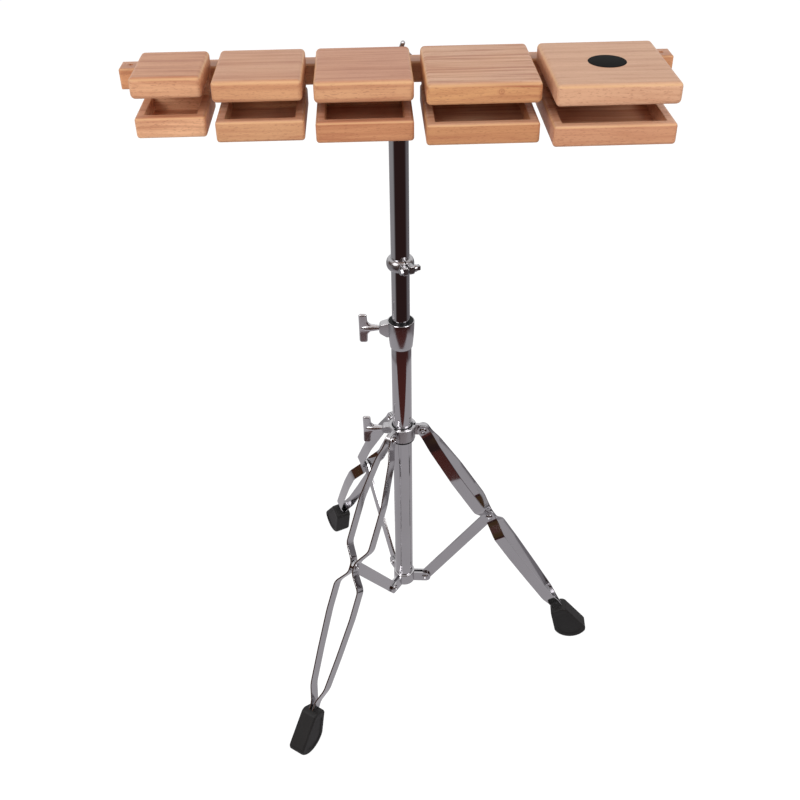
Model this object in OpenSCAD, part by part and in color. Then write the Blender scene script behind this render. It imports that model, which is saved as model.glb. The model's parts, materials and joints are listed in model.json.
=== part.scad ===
// Five graduated wooden blocks on a wooden rail, carried by a folding
// double-braced steel stand. The row runs along X, the mouths face -Y
// and the stand's tubes are upright. The origin is on the floor, in the
// middle of the box that the whole object fills.

/* [Blocks] */
// Width of the smallest block
block_1_w = 69; // [60:0.5:76]
// Width of the second block
block_2_w = 86; // [76:0.5:94]
// Width of the third block
block_3_w = 95; // [86:0.5:104]
// Width of the fourth block
block_4_w = 109; // [100:0.5:118]
// Width of the largest block
block_5_w = 118; // [108:0.5:126]
// Depth of the smallest block, from its mouth to the rail
block_1_d = 82; // [72:0.5:92]
// Depth of the second block
block_2_d = 98; // [88:0.5:108]
// Depth of the third block
block_3_d = 106; // [96:0.5:116]
// Depth of the fourth block
block_4_d = 119; // [108:0.5:128]
// Depth of the largest block
block_5_d = 131; // [120:0.5:140]
// Space between one block and the next
block_gap = 11; // [8:0.5:13]
// Thickness of a striking lid
lid_t = 21; // [18:0.5:24]
// Height of a mouth, between lid and tray
mouth_h = 18; // [16:0.5:20]
// Height of a tray
tray_h = 21; // [18:0.5:22]
// Rounding of a lid's edges
lid_round = 4.2; // [1:0.1:5]
// Rounding of a tray's edges
tray_round = 2.8; // [1:0.1:3]
// Thickness of a tray's side walls
tray_side_wall = 9; // [7:0.5:12]
// Thickness of a tray's front wall
tray_front_wall = 9; // [7:0.5:12]
// Thickness of a tray's rear wall, and depth of the neck that stands on it
tray_rear_wall = 20; // [18:0.5:26]
// Thickness of a tray's floor
tray_floor = 6; // [4:0.5:8]
// How far a neck stays inside its block at each side
neck_inset = 1.5; // [0.5:0.5:4]
// Diameter of the round badge on the largest lid
badge_d = 38; // [25:1:50]
// Thickness of the badge
badge_t = 0.8; // [0.5:0.1:1.5]

/* [Rail] */
// How far the rail reaches past the row of blocks at each end
rail_overhang = 26.5; // [24:0.5:60]
// Depth of the rail, from the blocks to its rear face
rail_d = 25; // [20:0.5:30]
// Height of the rail
rail_h = 22; // [20:0.5:26]
// Rounding of the rail's edges
rail_round = 2.6; // [1:0.1:3]
// Height of the lids' tops above the floor
lid_top_z = 898; // [880:1:920]
// How far the rail's top lies under the lids' tops
rail_drop = 17; // [15:0.5:19]
// Diameter of the hanging hole at each end of the rail
rail_hole_d = 5; // [4:0.1:6]
// Distance of a hanging hole from the rail's end
rail_hole_in = 11; // [9:0.5:16]

/* [Stand tubes] */
// Outer diameter of the main tube
main_tube_d = 25.4; // [24:0.1:28]
// Outer diameter of the upper tube
upper_tube_d = 22.2; // [20:0.1:22.2]
// Wall of both tubes
tube_wall = 1.2; // [1:0.1:1.4]
// Length of the upper tube
upper_tube_len = 516; // [500:1:540]
// Space between the upper tube's top and the rail
rail_over_tube = 43; // [41:1:59]
// Height of the height clamp's top
clamp_top_z = 561; // [540:1:580]
// Height of the height clamp
clamp_h = 38; // [36:0.5:46]
// Outer diameter of the height clamp's rim
clamp_rim_d = 33.4; // [32:0.1:36]
// Outer diameter of the height clamp's lower end
clamp_foot_d = 27.6; // [27:0.1:30]
// Height of the memory lock's middle over the height clamp's top
memory_over = 80; // [40:1:140]
// Outer diameter of the memory lock
memory_d = 33.4; // [31:0.5:36]
// Height of the memory lock
memory_h = 15; // [10:0.5:17]

/* [Legs] */
// Angle of the first leg from +X, in degrees
leg_angle = -5; // [-20:0.1:20]
// Distance of a leg's upper pivot from the tube's axis
collar_pivot_r = 27.5; // [26:0.1:30]
// Height of the legs' upper pivots
collar_pivot_z = 392; // [380:1:404]
// Distance from the tube's axis to the point where a leg enters its foot
leg_end_r = 231; // [220:1:240]
// Height of the point where a leg enters its foot
leg_end_z = 58; // [54:1:66]
// Distance of a leg's middle pivot from the tube's axis
brace_pivot_r = 121; // [115:0.5:130]
// Distance of a brace's lower pivot from the tube's axis
hub_pivot_r = 31; // [28:0.1:33]
// Height of the braces' lower pivots
hub_pivot_z = 116; // [104:1:122]
// Width of a leg's strip
strap_w = 16; // [14:0.5:18]
// Thickness of a leg's strip
strap_t = 2; // [1.6:0.1:2.4]
// Distance of a strip's middle from the leg's plane at the upper shoulder
strap_shoulder = 10.2; // [9:0.1:14]
// Distance of a strip's middle from the leg's plane at its widest above the brace
strap_bow = 17.6; // [15:0.1:19]
// Distance of a strip's middle from the leg's plane at its widest below the brace
strap_low_bow = 19; // [17:0.1:21]
// Width of a brace
brace_w = 16; // [14:0.5:17]
// Thickness of a brace
brace_t = 3; // [2.5:0.1:4]
// Width of a rubber foot across the leg
foot_w = 24; // [20:0.5:28]
// How far a foot's outermost face lies beyond the point where the leg enters it
foot_toe_out = 46; // [42:0.5:54]
// Length of a foot's sole
foot_sole_len = 37; // [32:0.5:42]

/* [Screws] */
// Diameter of the wing screws' threads
screw_d = 6; // [5:0.5:7]
// Length of a wing screw's wings, tip to tip
wing_span = 43; // [38:1:50]
// Depth of the wings along the screw's axis
wing_w = 14.8; // [12:0.2:16]
// Thickness of the wings
wing_t = 4.6; // [3:0.2:6]
// Turn of the clamps' wings about their screws, from upright
wing_turn = -9; // [-20:1:20]
// Diameter of the leg pins
pin_d = 5; // [4:0.1:6]
// Turn of the rail bolt's wings from upright
rail_bolt_turn = 21; // [-30:1:30]
// Diameter of the wood screws
wood_screw_d = 4; // [3.5:0.1:4.5]

/* [Fits] */
// Radial clearance of a pin, shaft or tube that turns or slides
run_fit = 0.06; // [0.02:0.01:0.1]
// Space between faces of pieces that move past each other
face_fit = 0.4; // [0.3:0.05:0.6]
// Radial clearance of a screw in its hole
screw_fit = 0.05; // [0.02:0.01:0.1]

/* [Hidden] */
$fn = 64;
// Overrun of every cut past the face that it opens
over = 1;
// Chamfer of the turned steel pieces' edges
chamfer = 1;
// Greatest turn between two faces of a rounded outline, in degrees
arc_step = 9;

// Widths and depths of the blocks, smallest first
block_w = [block_1_w, block_2_w, block_3_w, block_4_w, block_5_w];
block_d = [block_1_d, block_2_d, block_3_d, block_4_d, block_5_d];
function sum_to(list, n) = n <= 0 ? 0 : list[n - 1] + sum_to(list, n - 1);
row_w = sum_to(block_w, 5) + 4 * block_gap;
rail_len = row_w + 2 * rail_overhang;
function block_left(i) = sum_to(block_w, i) + i * block_gap - row_w / 2;
function block_mid(i) = block_left(i) + block_w[i] / 2;

// Heights in the row
lid_low_z = lid_top_z - lid_t;
tray_top_z = lid_low_z - mouth_h;
tray_low_z = tray_top_z - tray_h;
rail_top_z = lid_top_z - rail_drop;
rail_low_z = rail_top_z - rail_h;
rail_mid_z = (rail_top_z + rail_low_z) / 2;
// The rail is centred over the tube, so the blocks end at its front face
rail_front_y = -rail_d / 2;
rail_rear_y = rail_d / 2;

// Wood screws: head, lengths, and their places as shares of a block's width
wood_head_d = 2 * wood_screw_d;
wood_head_h = wood_screw_d * 0.55;
rail_screw_len = 40;
tray_screw_len = 52;
rail_screw_share = 0.27;
tray_screw_share = 0.38;

// Tubes
upper_tube_top_z = rail_low_z - rail_over_tube;
upper_tube_low_z = upper_tube_top_z - upper_tube_len;
main_bore_r = main_tube_d / 2 - tube_wall;
upper_bore_r = upper_tube_d / 2 - tube_wall;
// Height clamp: rim, bush and the place of its wing screw
clamp_low_z = clamp_top_z - clamp_h;
clamp_rim_h = 9;
clamp_rim_wall = 1.4;
bush_flange_h = 5;
bush_len = 26;
clamp_screw_drop = 11;
// Lugs that take the wing screws: reach from the tube's axis, thickness,
// height over and under the screw, and how much they grow down and up to
// their root
boss_reach = 27;
lug_w = 13;
lug_half = 6;
lug_round = 3;
clamp_lug_root = 9;
clamp_lug_rise = 4;
clamp_screw_turn = 176;
// Memory lock: ears, slit and key screw
memory_z = clamp_top_z + memory_over;
memory_lip = 1.2;
memory_ear_t = 6;
memory_ear_out = 7;
memory_ear_h = 10;
memory_slit = 2;
memory_turn = -66;
key_screw_d = 5;
key_head_d = 9;
key_head_h = 3;
key_square = 5.4;
key_square_h = 5;
key_nut_d = 8.5;

// Leg collar
collar_r = 18.2;
collar_h = 24;
collar_over_pivot = 8;
collar_rim_h = 4;
collar_foot_chamfer = 1.4;
collar_bush_t = 1;
collar_screw_turn = 174.4;
ear_t = 5;
ear_r = 8;
pin_head_d = 10;
pin_head_h = 1.8;

// Legs: directions, lean and the three points of a leg's line
leg_count = 3;
function leg_az(i) = leg_angle + i * 360 / leg_count;
leg_run = leg_end_r - collar_pivot_r;
leg_drop = collar_pivot_z - leg_end_z;
leg_len = sqrt(leg_run * leg_run + leg_drop * leg_drop);
leg_lean = atan2(leg_run, leg_drop);
upper_len = (brace_pivot_r - collar_pivot_r) / sin(leg_lean);
brace_pivot_z = collar_pivot_z - upper_len * cos(leg_lean);
brace_run = brace_pivot_r - hub_pivot_r;
brace_rise = brace_pivot_z - hub_pivot_z;
brace_len = sqrt(brace_run * brace_run + brace_rise * brace_rise);
brace_lean = atan2(brace_run, brace_rise);
// A strip's middle line, as distances along the leg and out of its plane
pinch_collar = ear_t / 2 + face_fit + strap_t / 2;
pinch_brace = brace_t / 2 + face_fit + strap_t / 2;
pinch_foot = strap_t / 2 + 0.8 * strap_t;
strap_tail = strap_w / 2;
shoulder_start = 11;
shoulder_end = 30;
bow_above = 92;
bow_near = 25;
bow_below = 27;
low_bow_end = 70;
taper_start = 85;
taper_half = 15;
neck_start = 33;
neck_half = 11;
neck_end = 11;
pinch_half = 9.5;
foot_pinch = 20;
socket_deep = 20;
strap_bend_r = 6;
strap_curve_r = 60;
strap_line = [
  [-strap_tail, pinch_collar],
  [shoulder_start, pinch_collar],
  [shoulder_end, strap_shoulder],
  [upper_len - bow_above, strap_bow],
  [upper_len - bow_near, strap_bow],
  [upper_len - pinch_half, pinch_brace],
  [upper_len + pinch_half, pinch_brace],
  [upper_len + bow_below, strap_low_bow],
  [upper_len + low_bow_end, strap_low_bow],
  [leg_len - taper_start, taper_half],
  [leg_len - neck_start, neck_half],
  [leg_len - neck_end, pinch_foot],
  [leg_len + socket_deep, pinch_foot]
];
strap_rounds = [strap_bend_r, strap_bend_r, 3 * strap_bend_r, strap_curve_r, 2 * strap_bend_r, strap_bend_r,
  strap_bend_r, 2 * strap_bend_r, strap_curve_r, strap_curve_r, strap_bend_r, strap_bend_r, strap_bend_r];

// Feet: the outline of one, seen from the side, as distances from the axis
// and heights above the floor
foot_toe_r = leg_end_r + foot_toe_out;
foot_heel_r = foot_toe_r - foot_sole_len;
foot_top_half = 11.5;
foot_sole_r = 11;
foot_top_r = 6;
foot_toe_low = 11;
foot_toe_high = 20;
foot_heel_back = 11.5;
foot_heel_z = 11;
foot_pad_share = 0.62;
foot_pad_cut = 0.8;
foot_top_n = [cos(leg_lean), sin(leg_lean)];
foot_outline = [
  [leg_end_r, leg_end_z] - foot_top_half * foot_top_n,
  [leg_end_r, leg_end_z] + foot_top_half * foot_top_n,
  [foot_toe_r, foot_toe_high],
  [foot_toe_r, foot_toe_low],
  [foot_toe_r - foot_toe_low, 0],
  [foot_heel_r, 0],
  [foot_heel_r - foot_heel_back, foot_heel_z]
];
foot_rounds = [foot_top_r / 2, foot_top_r, foot_sole_r, foot_sole_r, foot_sole_r, foot_sole_r, foot_sole_r];

// Base hub
hub_r = 15.2;
hub_h = 19;
hub_over_pivot = 11;
hub_floor = 3;
hub_lip = 2;
clevis_t = 2.6;
clevis_r = 8;
hub_plug_h = 2;

// Holder at the top of the upper tube
socket_r = 14.2;
socket_h = 32;
socket_on_tube = 17;
socket_screw_z = 8;
socket_screw_turn = 90;
socket_boss_d = 13;
post_shoulder_r = 12;
post_shoulder_h = 5;
thumb_head_d = 15;
thumb_head_h = 8;
thumb_ridges = 20;
thumb_ridge_d = 1.6;
thumb_gap = 3;
post_below = 60;
bracket_t = 4;
bracket_w = 32;
bracket_round = 6;
bracket_up = 2;
insert_d = 11;
insert_len = 16;
bolt_reach = 14;
washer_d = 18;
washer_t = 1.6;
rail_bolt_collar = 6;
// The rail bolt's wings are as long as the clamps', but thinner
rail_wing_share = 1;
rail_wing_w = 9.6;
// Wings: hub, waist and tips
wing_hub_d = 10;
wing_shank = 10;
wing_lift_share = 0.38;
wing_tip_share = 0.68;
wing_waist_share = 0.28;
wing_round_share = 0.2;

// The object is shifted along Y so that its box is centred on the origin
foot_y_reach = [for (i = [0:leg_count - 1], s = [-1, 1])
  foot_toe_r * sin(leg_az(i)) + s * foot_w / 2 * cos(leg_az(i))];
stand_y = -(max(foot_y_reach) + min(foot_y_reach)) / 2;

echo(stand_y = stand_y, upper_len = upper_len, leg_lean = leg_lean);
echo(brace_len = brace_len, brace_lean = brace_lean, brace_pivot_z = brace_pivot_z);

// Colours
beech = [0.85, 0.66, 0.49];
chrome = [0.78, 0.78, 0.8];
rubber = [0.1, 0.1, 0.1];
nylon = [0.12, 0.12, 0.12];
brass = [0.78, 0.62, 0.3];

// A path with its inner corners turned into arcs, and a closed outline with
// all its corners rounded: one radius for each point
function unit(v) = v / norm(v);
function corner_points(p, q, n, r) =
  let (a = unit(p - q), b = unit(n - q), half = acos(max(-1, min(1, a * b))) / 2,
       back = min(r / tan(half), 0.45 * norm(p - q), 0.45 * norm(n - q)),
       rr = back * tan(half), c = q + unit(a + b) * rr / sin(half),
       from = q + a * back - c, to = q + b * back - c,
       a0 = atan2(from[1], from[0]), turn = atan2(from[0] * to[1] - from[1] * to[0], from * to),
       steps = max(1, ceil(abs(turn) / arc_step)))
  [for (k = [0:steps]) c + rr * [cos(a0 + turn * k / steps), sin(a0 + turn * k / steps)]];
function bent_path(pts, rounds) = [pts[0],
  for (i = [1:len(pts) - 2]) each corner_points(pts[i - 1], pts[i], pts[i + 1], rounds[i]),
  pts[len(pts) - 1]];
function round_outline(pts, rounds) = let (n = len(pts))
  [for (i = [0:n - 1]) each corner_points(pts[(i + n - 1) % n], pts[i], pts[(i + 1) % n], rounds[i])];
function alike(n, r) = [for (i = [1:n]) r];
// Points beside an open path, at a distance d to its left
function beside(path, d) = let (n = len(path))
  [for (i = [0:n - 1])
    let (a = i == 0 ? unit(path[1] - path[0]) : unit(path[i] - path[i - 1]),
         b = i == n - 1 ? a : unit(path[i + 1] - path[i]),
         m = unit(a + b), k = d / (m * a))
    path[i] + k * [-m[1], m[0]]];

// Rectangle with round corners, from its lower left corner
module round_square(size, r) {
  translate([r, 0]) square([size[0] - 2 * r, size[1]]);
  translate([0, r]) square([size[0], size[1] - 2 * r]);
  for (x = [r, size[0] - r], y = [r, size[1] - r]) translate([x, y]) circle(r);
}

// Board with all its edges rounded, from its lowest corner
module round_board(size, r) {
  intersection() {
    linear_extrude(size[2]) round_square([size[0], size[1]], r);
    translate([0, size[1], 0]) rotate([90, 0, 0])
      linear_extrude(size[1]) round_square([size[0], size[2]], r);
    rotate([90, 0, 90]) linear_extrude(size[0]) round_square([size[1], size[2]], r);
  }
}

// Moves its children from the stand's frame to the object's
module placed() {
  translate([0, stand_y, 0]) children();
}

// Turns its children to leg i: X points out along the leg, Y across it
module at_leg(i) {
  placed() rotate([0, 0, leg_az(i)]) children();
}

// Wood screw along +Z, with its head's top at the origin's height
module wood_screw(len, fit) {
  translate([0, 0, -len]) cylinder(h = len - wood_head_h + over, d = wood_screw_d + 2 * fit);
  translate([0, 0, -wood_head_h])
    cylinder(h = wood_head_h, d1 = wood_screw_d + 2 * fit, d2 = wood_head_d + 2 * fit);
}

// Places of the screws that hold block i to the rail, and its tray and neck
// to its lid
module at_rail_screws(i) {
  for (s = [-1, 1])
    translate([block_mid(i) + s * rail_screw_share * block_w[i], rail_rear_y, rail_mid_z])
      rotate([-90, 0, 0]) children();
}
module at_tray_screws(i) {
  for (s = [-1, 1])
    translate([block_mid(i) + s * tray_screw_share * block_w[i],
               rail_front_y - tray_rear_wall / 2, tray_low_z])
      rotate([180, 0, 0]) children();
}

module block_lid(i) {
  color(beech) placed() difference() {
    translate([block_left(i), rail_front_y - block_d[i], lid_low_z])
      round_board([block_w[i], block_d[i], lid_t], lid_round);
    at_tray_screws(i) wood_screw(tray_screw_len, screw_fit);
    if (i == 4) at_badge() translate([0, 0, -badge_t / 2]) cylinder(h = badge_t + over, d = badge_d);
  }
}

module block_neck(i) {
  color(beech) placed() difference() {
    translate([block_left(i) + neck_inset, rail_front_y - tray_rear_wall, tray_top_z])
      cube([block_w[i] - 2 * neck_inset, tray_rear_wall, mouth_h]);
    at_tray_screws(i) wood_screw(tray_screw_len, screw_fit);
    at_rail_screws(i) wood_screw(rail_screw_len, screw_fit);
  }
}

module block_tray(i) {
  color(beech) placed() difference() {
    translate([block_left(i), rail_front_y - block_d[i], tray_low_z])
      round_board([block_w[i], block_d[i], tray_h], tray_round);
    translate([block_left(i) + tray_side_wall, rail_front_y - block_d[i] + tray_front_wall,
               tray_low_z + tray_floor])
      cube([block_w[i] - 2 * tray_side_wall,
            block_d[i] - tray_front_wall - tray_rear_wall, tray_h - tray_floor + over]);
    at_tray_screws(i) {
      wood_screw(tray_screw_len, screw_fit);
      cylinder(h = over, d = wood_head_d + 2 * screw_fit);
    }
  }
}

// Middle of the badge, on top of the largest lid
module at_badge() {
  translate([block_mid(4), rail_front_y - block_d[4] / 2, lid_top_z]) children();
}

module badge() {
  color(nylon) placed() at_badge()
    translate([0, 0, -badge_t / 2]) cylinder(h = badge_t, d = badge_d - 2 * screw_fit);
}

module rail() {
  color(beech) placed() difference() {
    translate([-rail_len / 2, rail_front_y, rail_low_z])
      round_board([rail_len, rail_d, rail_h], rail_round);
    for (s = [-1, 1])
      translate([s * (rail_len / 2 - rail_hole_in), 0, rail_low_z - over])
        cylinder(h = rail_h + 2 * over, d = rail_hole_d);
    for (i = [0:4]) at_rail_screws(i) {
      wood_screw(rail_screw_len, screw_fit);
      cylinder(h = over, d = wood_head_d + 2 * screw_fit);
    }
    at_rail_bolt() translate([0, 0, -insert_len]) cylinder(h = insert_len + over, d = insert_d);
  }
}

// Axis of the bolt that holds the rail to its bracket, along +Y
module at_rail_bolt() {
  translate([0, rail_rear_y, rail_mid_z]) rotate([-90, 0, 0]) children();
}

module rail_insert() {
  color(brass) placed() at_rail_bolt() difference() {
    translate([0, 0, -insert_len]) cylinder(h = insert_len, d = insert_d);
    translate([0, 0, -insert_len - over]) cylinder(h = insert_len + 2 * over, d = screw_d + 2 * run_fit);
  }
}

module rail_screws() {
  color(chrome) placed() for (i = [0:4]) at_rail_screws(i) wood_screw(rail_screw_len, 0);
}

module tray_screws() {
  color(chrome) placed() for (i = [0:4]) at_tray_screws(i) wood_screw(tray_screw_len, 0);
}

// Steel angle under and behind the rail
module rail_bracket() {
  back_h = rail_h + bracket_t + bracket_up;
  color(chrome) placed() difference() {
    union() {
      translate([-bracket_w / 2, rail_front_y + face_fit, rail_low_z - bracket_t])
        cube([bracket_w, rail_d + bracket_t - face_fit, bracket_t]);
      translate([-bracket_w / 2, rail_rear_y + bracket_t, rail_low_z - bracket_t])
        rotate([90, 0, 0]) linear_extrude(bracket_t) round_square([bracket_w, back_h], bracket_round);
      translate([-bracket_w / 2, rail_rear_y, rail_low_z - bracket_t])
        cube([bracket_w, bracket_t, bracket_t + bracket_round]);
    }
    at_rail_bolt() translate([0, 0, -over]) cylinder(h = bracket_t + 2 * over, d = screw_d + 2 * run_fit);
    translate([0, 0, rail_low_z - bracket_t - over])
      cylinder(h = bracket_t + 2 * over, r = upper_bore_r - run_fit);
  }
}

// Steel post that turns in the upper tube and carries the bracket
module bracket_post() {
  color(chrome) placed()
    translate([0, 0, upper_tube_top_z - post_below])
      cylinder(h = rail_low_z - upper_tube_top_z + post_below, r = upper_bore_r - run_fit);
}

// Ring pressed on the post, which rests on the socket
module post_ring() {
  color(chrome) placed() translate([0, 0, upper_tube_top_z - socket_on_tube + socket_h]) difference() {
    cylinder(h = post_shoulder_h, r = post_shoulder_r);
    translate([0, 0, -over]) cylinder(h = post_shoulder_h + 2 * over, r = upper_bore_r - run_fit);
  }
}

// Washer under the rail bolt's head
module bolt_washer() {
  color(chrome) placed() at_rail_bolt() translate([0, 0, bracket_t]) difference() {
    cylinder(h = washer_t, d = washer_d);
    translate([0, 0, -over]) cylinder(h = washer_t + 2 * over, d = screw_d + 2 * run_fit);
  }
}

// Outline of a pair of wings, across the screw's axis: straight outside, and
// drawn in to a hub on the screw's side
module wing_outline(span, deep) {
  hub = wing_hub_d / 2;
  tip = deep * (1 - wing_tip_share);
  waist = deep * wing_waist_share;
  polygon(round_outline([[-span / 2, tip], [-2 * hub, waist], [-hub, 0], [hub, 0], [2 * hub, waist],
    [span / 2, tip], [span / 2, deep], [-span / 2, deep]], alike(8, deep * wing_round_share)));
}

// Wing screw along +Z: its thread reaches down to -reach, and its wings lie
// along X from the height lift
module wing_screw(reach, lift) {
  translate([0, 0, -reach]) cylinder(h = reach + lift, d = screw_d);
  translate([0, 0, lift - wing_shank]) cylinder(h = wing_shank, d1 = screw_d * 1.1, d2 = wing_hub_d);
  translate([0, 0, lift]) cylinder(h = wing_w * 0.8, d1 = wing_hub_d, d2 = screw_d);
  translate([0, wing_t / 2, lift]) rotate([90, 0, 0]) linear_extrude(wing_t)
    wing_outline(wing_span, wing_w);
}

module rail_wing_bolt() {
  color(chrome) placed() at_rail_bolt() translate([0, 0, bracket_t + washer_t])
    rotate([0, 0, 90 + rail_bolt_turn])
      rail_bolt_shape();
}

module rail_bolt_shape() {
  translate([0, 0, -bolt_reach - bracket_t - washer_t])
    cylinder(h = bolt_reach + bracket_t + washer_t + over, d = screw_d);
  cylinder(h = rail_bolt_collar, d = 2 * screw_d);
  translate([0, wing_t / 2, rail_bolt_collar - over]) rotate([90, 0, 0])
    linear_extrude(wing_t) wing_outline(rail_wing_share * wing_span, rail_wing_w);
}

// Socket on top of the upper tube, in which the bracket's post turns
module top_socket() {
  low = upper_tube_top_z - socket_on_tube;
  color(chrome) placed() difference() {
    union() {
      translate([0, 0, low]) rotate_extrude() polygon([
        [0, 0], [socket_r - chamfer, 0], [socket_r, chamfer], [socket_r, socket_h - chamfer],
        [socket_r - chamfer, socket_h], [0, socket_h]]);
      at_socket_screw() translate([0, 0, -socket_r / 2])
        cylinder(h = socket_r / 2 + thumb_gap / 2, d = socket_boss_d);
    }
    translate([0, 0, low - over]) cylinder(h = socket_on_tube + over, r = upper_tube_d / 2);
    translate([0, 0, low - over]) cylinder(h = socket_h + 2 * over, r = upper_bore_r);
    at_socket_screw() translate([0, 0, -socket_r])
      cylinder(h = socket_r + thumb_gap, d = screw_d + 2 * run_fit);
  }
}

// Axis of the socket's thumb screw, from the socket's wall outwards
module at_socket_screw() {
  translate([0, 0, upper_tube_top_z + socket_screw_z]) rotate([0, 0, socket_screw_turn])
    rotate([0, 90, 0]) translate([0, 0, socket_r]) children();
}

module socket_thumb_screw() {
  reach = socket_r - upper_bore_r - face_fit;
  color(chrome) placed() at_socket_screw() {
    translate([0, 0, -reach]) cylinder(h = reach + thumb_gap + over, d = screw_d);
    translate([0, 0, thumb_gap]) difference() {
      cylinder(h = thumb_head_h, d = thumb_head_d);
      for (k = [0:thumb_ridges - 1]) rotate([0, 0, 360 * k / thumb_ridges])
        translate([thumb_head_d / 2, 0, over]) cylinder(h = thumb_head_h, d = thumb_ridge_d, $fn = 16);
    }
  }
}

module upper_tube() {
  color(chrome) placed() translate([0, 0, upper_tube_low_z]) difference() {
    cylinder(h = upper_tube_len, r = upper_tube_d / 2);
    translate([0, 0, -over]) cylinder(h = upper_tube_len + 2 * over, r = upper_bore_r);
  }
}

// Split ring on the upper tube, with two ears that a key screw draws together
module memory_lock() {
  r = memory_d / 2;
  lip = upper_tube_d / 2 + memory_lip;
  color(chrome) placed() translate([0, 0, memory_z]) difference() {
    union() {
      rotate_extrude() polygon([[0, -memory_h / 2], for (k = [-5:5]) let (a = 90 * k / 5)
        [lip + (r - lip) * cos(a), sin(a) * memory_h / 2],
        [0, memory_h / 2]]);
      rotate([0, 0, memory_turn]) for (s = [-1, 1])
        translate([r - memory_ear_t, s * (memory_slit + memory_ear_t) / 2, 0])
          translate([0, -memory_ear_t / 2, -memory_ear_h / 2])
            cube([memory_ear_t + memory_ear_out, memory_ear_t, memory_ear_h]);
    }
    translate([0, 0, -memory_h]) cylinder(h = 2 * memory_h, r = upper_tube_d / 2 + run_fit);
    rotate([0, 0, memory_turn]) translate([0, -memory_slit / 2, -memory_h])
      cube([memory_d, memory_slit, 2 * memory_h]);
    at_key_screw() translate([0, 0, -memory_d / 2]) cylinder(h = memory_d, d = key_screw_d + 2 * run_fit);
  }
}

// Axis of the memory lock's key screw, across its ears
module at_key_screw() {
  rotate([0, 0, memory_turn]) translate([memory_d / 2 + memory_ear_out / 2, 0, 0])
    rotate([-90, 0, 0]) children();
}

module memory_key_screw() {
  half = memory_slit / 2 + memory_ear_t + face_fit;
  color(chrome) placed() translate([0, 0, memory_z]) at_key_screw() {
    translate([0, 0, -half]) cylinder(h = 2 * half, d = key_screw_d);
    translate([0, 0, half]) cylinder(h = key_head_h, d = key_head_d);
    translate([-key_square / 2, -key_square / 2, half + key_head_h])
      cube([key_square, key_square, key_square_h]);
    translate([0, 0, -half - key_head_h]) cylinder(h = key_head_h, d = key_nut_d, $fn = 6);
  }
}

// Cast clamp at the main tube's top
module height_clamp() {
  rim_r = clamp_rim_d / 2;
  foot_r = clamp_foot_d / 2;
  color(chrome) placed() difference() {
    union() {
      translate([0, 0, clamp_low_z]) rotate_extrude() polygon([
        [0, 0], [foot_r, 0], for (k = [0:8]) let (u = k / 8)
          [rim_r - (rim_r - foot_r) * pow(1 - u, 2), chamfer + u * (clamp_h - clamp_rim_h - chamfer)],
        [rim_r, clamp_h - chamfer], [rim_r - chamfer, clamp_h], [0, clamp_h]]);
      at_clamp_screw() screw_lug(clamp_lug_root, clamp_lug_rise);
    }
    translate([0, 0, clamp_low_z - over]) cylinder(h = clamp_h + 2 * over, r = main_tube_d / 2);
    translate([0, 0, clamp_top_z - bush_flange_h])
      cylinder(h = bush_flange_h + over, r = rim_r - clamp_rim_wall);
    at_clamp_screw() translate([0, 0, -boss_reach])
      cylinder(h = boss_reach + over, d = screw_d + 2 * run_fit);
  }
}

// Lug for a wing screw along +Z that ends at the origin: X points down, and
// the lug grows by root and rise, down and up, to where it leaves the clamp
module screw_lug(root, rise) {
  inner = main_tube_d / 2 - boss_reach;
  translate([0, lug_w / 2, 0]) rotate([90, 0, 0]) linear_extrude(lug_w)
    polygon(round_outline([[-lug_half - rise, inner], [lug_half + root, inner], [lug_half, 0], [-lug_half, 0]],
      alike(4, lug_round)));
}

// Axis of the height clamp's wing screw, from the end of its lug outwards
module at_clamp_screw() {
  translate([0, 0, clamp_top_z - clamp_screw_drop]) rotate([0, 0, clamp_screw_turn])
    rotate([0, 90, 0]) translate([0, 0, boss_reach]) children();
}

module clamp_bush() {
  color(nylon) placed() difference() {
    union() {
      translate([0, 0, clamp_top_z - bush_len]) cylinder(h = bush_len, r = main_tube_d / 2);
      translate([0, 0, clamp_top_z - bush_flange_h])
        cylinder(h = bush_flange_h, r = clamp_rim_d / 2 - clamp_rim_wall);
    }
    translate([0, 0, clamp_top_z - bush_len - over])
      cylinder(h = bush_len + 2 * over, r = upper_tube_d / 2 + run_fit);
    at_clamp_screw() translate([0, 0, -boss_reach]) cylinder(h = boss_reach, d = screw_d + 2 * run_fit);
  }
}

// Wing screw of a clamp whose lug ends at the origin: its tip stops short of
// the tube of radius tube_r
module lug_wing_screw(tube_r) {
  rotate([0, 0, wing_turn]) wing_screw(boss_reach - tube_r - face_fit, boss_reach * wing_lift_share);
}

module clamp_wing_screw() {
  color(chrome) placed() at_clamp_screw() lug_wing_screw(upper_tube_d / 2 + run_fit);
}

module main_tube() {
  low = hub_pivot_z + hub_over_pivot - hub_h + hub_floor;
  top = clamp_top_z - bush_len;
  color(chrome) placed() translate([0, 0, low]) difference() {
    cylinder(h = top - low, r = main_tube_d / 2);
    translate([0, 0, -over]) cylinder(h = top - low + 2 * over, r = main_bore_r);
  }
}

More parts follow.
